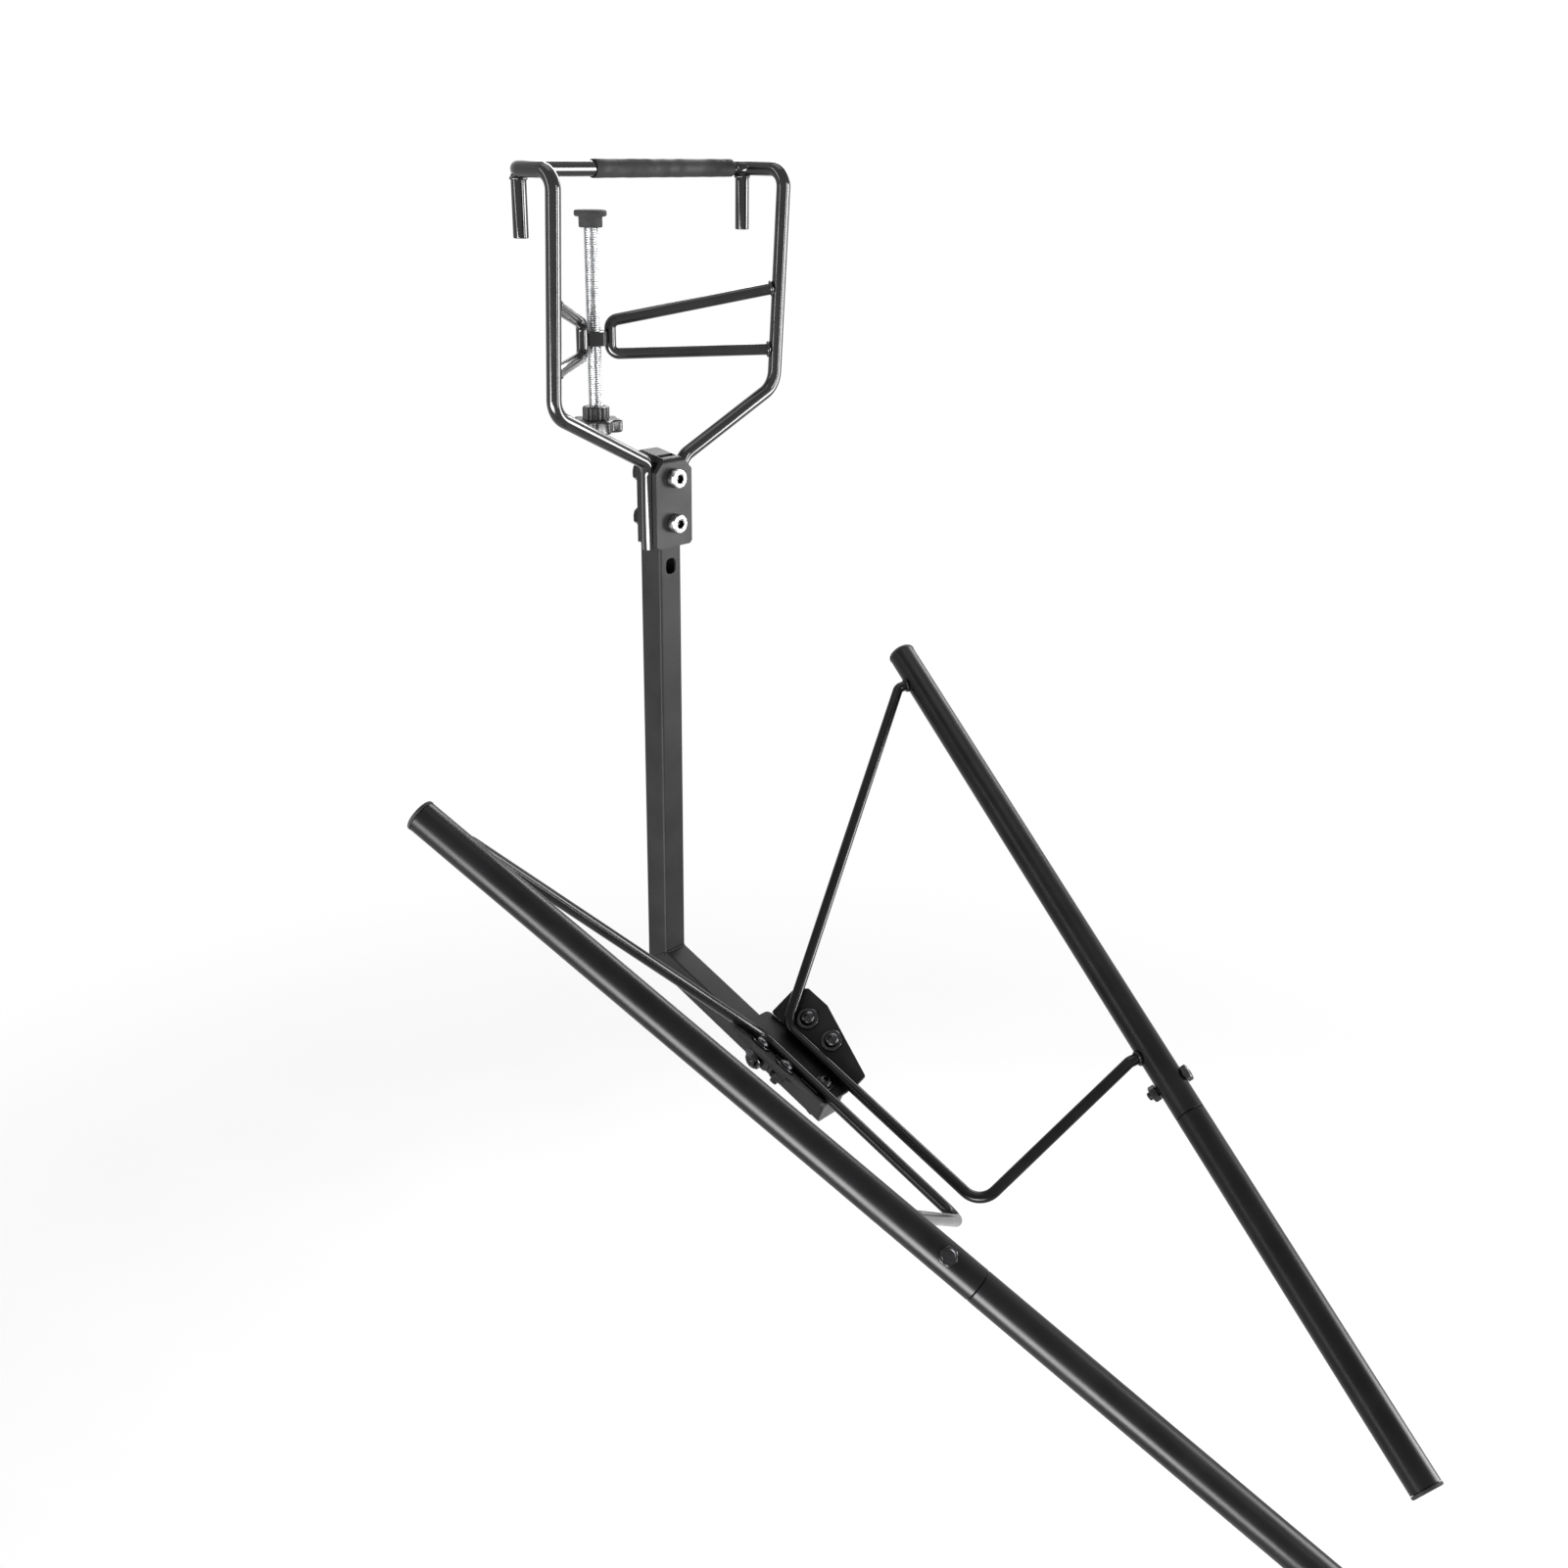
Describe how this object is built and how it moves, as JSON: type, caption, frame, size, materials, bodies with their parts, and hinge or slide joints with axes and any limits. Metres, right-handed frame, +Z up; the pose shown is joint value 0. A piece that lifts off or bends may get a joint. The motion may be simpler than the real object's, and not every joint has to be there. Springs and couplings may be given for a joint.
{
  "type": "ball return attachment",
  "caption": "Ball return chute that hooks over a hoop's rim: bent rod hanger with clamp screw, square post and arm, and sloping tube rails on bent wires.",
  "frame": {"origin": "middle of the hanger's throat, at the underside of the two rods that lie over the rim", "axes": "+Z up, -Y towards the court and down the chute, +Y towards the backboard, +X to the right seen from the court"},
  "size_m": [0.489, 0.6811, 0.7374],
  "materials": {
    "gloss_coat": "gloss black coating",
    "satin_coat": "satin charcoal coating",
    "plate_coat": "satin black coating",
    "black_rubber": "matte",
    "black_plastic": "satin",
    "bright_zinc": "bright zinc plate",
    "black_steel": "black oxide"
  },
  "bodies": {
    "frame": {"hanger_rod": "gloss_coat", "stub_left": "gloss_coat", "stub_right": "gloss_coat", "rim_sleeve": "black_rubber", "tension_arm_left": "gloss_coat", "tension_arm_right": "gloss_coat", "clamp_nut": "gloss_coat", "post_bracket": "plate_coat", "post": "satin_coat", "post_screw_upper": "bright_zinc", "post_screw_lower": "bright_zinc", "post_nut_upper": "black_steel", "post_nut_lower": "black_steel", "arm": "satin_coat", "arm_plug": "black_plastic", "arm_bracket": "plate_coat", "cross_bolt": "black_steel", "cross_nut": "black_steel", "base_bolt": "black_steel", "base_nut": "black_steel", "base_washer": "black_steel", "side_wire_left": "gloss_coat", "side_wire_right": "gloss_coat", "chute_plate_left": "plate_coat", "chute_plate_right": "plate_coat", "plate_bolt_left_1": "black_steel", "plate_bolt_left_2": "black_steel", "plate_bolt_right_1": "black_steel", "plate_bolt_right_2": "black_steel", "plate_washer_left_1": "black_steel", "plate_washer_left_2": "black_steel", "plate_washer_right_1": "black_steel", "plate_washer_right_2": "black_steel", "plate_nut_left_1": "black_steel", "plate_nut_left_2": "black_steel", "plate_nut_right_1": "black_steel", "plate_nut_right_2": "black_steel", "upper_rail_left": "gloss_coat", "upper_rail_right": "gloss_coat", "lower_rail_left": "gloss_coat", "lower_rail_right": "gloss_coat", "rail_bolt_left": "black_steel", "rail_bolt_right": "black_steel", "rail_nut_left": "black_steel", "rail_nut_right": "black_steel", "rail_cap_top_left": "black_rubber", "rail_cap_top_right": "black_rubber", "rail_cap_bottom_left": "black_rubber", "rail_cap_bottom_right": "black_rubber"},
    "foot": {"clamp_foot": "black_rubber"},
    "screw": {"clamp_screw": "bright_zinc", "star_knob": "black_plastic"}
  },
  "joints": [
    {"name": "foot_lift", "type": "slide", "parent": "frame", "child": "foot", "axis": [0, 0, 1], "range_m": [-0.045, 0.025]},
    {"name": "screw_turn", "type": "hinge", "parent": "foot", "child": "screw", "pos_m": [0, 0.0635, -0.1], "axis": [0, 0, 1], "range_deg": [-10815, 6015]}
  ],
  "couplings": [
    {"joint": "screw_turn", "follows": "foot_lift", "rad_per_m": 4188.8}
  ]
}
